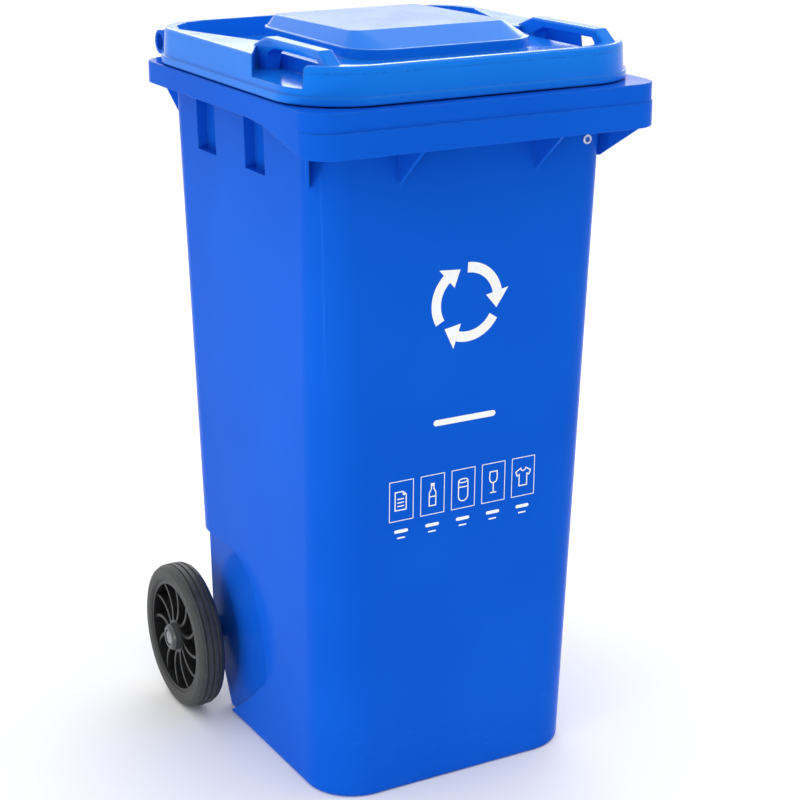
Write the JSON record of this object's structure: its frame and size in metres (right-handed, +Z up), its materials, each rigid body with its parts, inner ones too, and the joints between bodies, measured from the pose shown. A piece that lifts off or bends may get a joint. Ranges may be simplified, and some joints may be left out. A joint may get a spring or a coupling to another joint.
{
  "type": "wheelie bin",
  "caption": "Tall tapered two-wheeled refuse bin with a hinged lid, side handles on the lid, rear grips and rubber-tyred wheels.",
  "frame": {"origin": "centre of the footprint on the ground", "axes": "+Z up, the front faces -Y, +X to the right seen from the front's own camera side, symmetric about X = 0"},
  "size_m": [0.484, 0.536, 0.933],
  "materials": {
    "blue_plastic": "moulded polyethylene, smooth gloss with faint flow and scuffs",
    "black_plastic": "moulded polypropylene, satin",
    "grey_plastic": "smooth satin gloss",
    "pale_plastic": "natural nylon",
    "tyre_rubber": "dull grey-black rubber",
    "zinc_steel": "zinc plated",
    "white_print": "hot-foil print film"
  },
  "bodies": {
    "bin": {"body": "blue_plastic", "chip_plug": "pale_plastic", "axle": "zinc_steel", "hinge_pin_left": "blue_plastic", "axle_spacer_left": "black_plastic", "thrust_washer_left": "zinc_steel", "lock_washer_left": "zinc_steel", "hinge_pin_right": "blue_plastic", "axle_spacer_right": "black_plastic", "thrust_washer_right": "zinc_steel", "lock_washer_right": "zinc_steel"},
    "lid": {"lid": "blue_plastic"},
    "wheel_left": {"wheel_hub_left": "black_plastic", "tyre_left": "tyre_rubber", "wheel_bush_left": "pale_plastic", "hub_cap_left": "grey_plastic"},
    "wheel_right": {"wheel_hub_right": "black_plastic", "tyre_right": "tyre_rubber", "wheel_bush_right": "pale_plastic", "hub_cap_right": "grey_plastic"}
  },
  "joints": [
    {"name": "lid_hinge", "type": "hinge", "parent": "bin", "child": "lid", "pos_m": [0, 0.252, 0.881], "axis": [-1, 0, 0], "range_deg": [0, 265]},
    {"name": "wheel_left_spin", "type": "hinge", "parent": "bin", "child": "wheel_left", "pos_m": [-0.217, 0.16, 0.098], "axis": [1, 0, 0], "continuous": true},
    {"name": "wheel_right_spin", "type": "hinge", "parent": "bin", "child": "wheel_right", "pos_m": [0.217, 0.16, 0.098], "axis": [1, 0, 0], "continuous": true}
  ]
}
